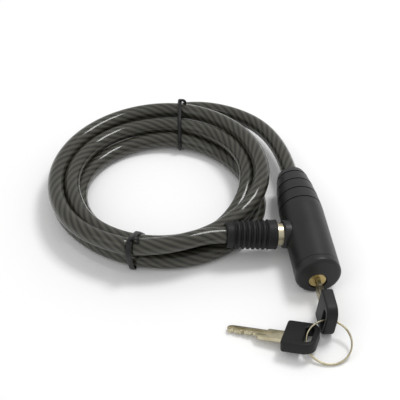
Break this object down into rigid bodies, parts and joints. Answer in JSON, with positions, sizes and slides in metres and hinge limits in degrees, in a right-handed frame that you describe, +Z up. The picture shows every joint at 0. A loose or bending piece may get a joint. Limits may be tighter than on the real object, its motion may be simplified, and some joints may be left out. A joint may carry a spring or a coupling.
{
  "type": "keyed cable lock",
  "caption": "Coiled steel cable lock with a barrel lock body, a side locking pin and two keys on a split ring.",
  "frame": {"origin": "middle of the footprint of the lock body, keys and ring, on the floor", "axes": "+Y along the lock body from its key end to its cable end, +Z up from the floor, locking pin towards -X"},
  "size_m": [0.164, 0.2351, 0.0267],
  "materials": {
    "black_shell": "satin moulded",
    "bow_plastic": "fine grain",
    "sleeve_rubber": "matte",
    "cable_jacket": "clear smoke over steel strand",
    "tie_plastic": "matte",
    "case_metal": "die cast",
    "steel": "hardened",
    "brass": "satin",
    "pale_metal": "nickel washed"
  },
  "bodies": {
    "lock": {"outer_sleeve": "black_shell", "end_cap": "black_shell", "lock_case": "case_metal", "cable_anchor": "steel", "anchor_pin": "steel", "socket_collar": "black_shell", "socket_bush": "steel", "cable_lock_stretch": "cable_jacket", "cable_coil": "cable_jacket", "cable_end_stretch": "cable_jacket", "tie_top": "tie_plastic", "tie_bottom": "tie_plastic"},
    "plug": {"plug": "brass", "plug_clip": "steel", "tail_cam": "steel"},
    "wafers_up": {"wafers_up": "brass"},
    "wafers_down": {"wafers_down": "brass"},
    "latch": {"latch_plate": "steel"},
    "pin_end": {"locking_pin": "steel", "pin_ferrule": "pale_metal", "pin_crimp": "steel", "cable_sleeve": "sleeve_rubber"},
    "key": {"key_blade": "pale_metal", "key_bow": "bow_plastic"},
    "ring": {"key_ring": "pale_metal"},
    "spare_key": {"spare_key_blade": "pale_metal", "spare_key_bow": "bow_plastic"}
  },
  "joints": [
    {"name": "plug_turn", "type": "hinge", "parent": "lock", "child": "plug", "pos_m": [0.0209, -0.015, 0.00962], "axis": [0, 1, 0], "range_deg": [0, 90]},
    {"name": "latch_slide", "type": "slide", "parent": "lock", "child": "latch", "axis": [0.0958, 0, 0.9954], "range_m": [0, 0.0024]},
    {"name": "pin_slide", "type": "slide", "parent": "lock", "child": "pin_end", "axis": [-0.9954, 0, 0.0958], "range_m": [0, 0.022], "deforming": ["cable_end_stretch", "cable_coil"]},
    {"name": "key_slide", "type": "slide", "parent": "plug", "child": "key", "axis": [0, -1, 0], "range_m": [-0.0074, 0.018]},
    {"name": "wafers_up_slide", "type": "slide", "parent": "plug", "child": "wafers_up", "axis": [0.0958, 0, 0.9954], "range_m": [-0.0002, 0.0004]},
    {"name": "wafers_down_slide", "type": "slide", "parent": "plug", "child": "wafers_down", "axis": [-0.0958, 0, -0.9954], "range_m": [-0.0002, 0.0004]},
    {"name": "ring_swing", "type": "hinge", "parent": "key", "child": "ring", "pos_m": [0.02125, -0.0466, 0.01], "axis": [-0.9841, 0.1652, 0.0659], "range_deg": [-35, 45]},
    {"name": "spare_key_swing", "type": "hinge", "parent": "ring", "child": "spare_key", "pos_m": [0.00695, -0.05539, 0.00649], "axis": [0.2179, 0.9088, 0.3559], "range_deg": [-18, 5]}
  ],
  "couplings": [
    {"joint": "plug_turn", "follows": "latch_slide", "rad_per_m": 654.5},
    {"joint": "wafers_up_slide", "follows": "key_slide", "ratio": 0.02},
    {"joint": "wafers_down_slide", "follows": "key_slide", "ratio": 0.02}
  ]
}
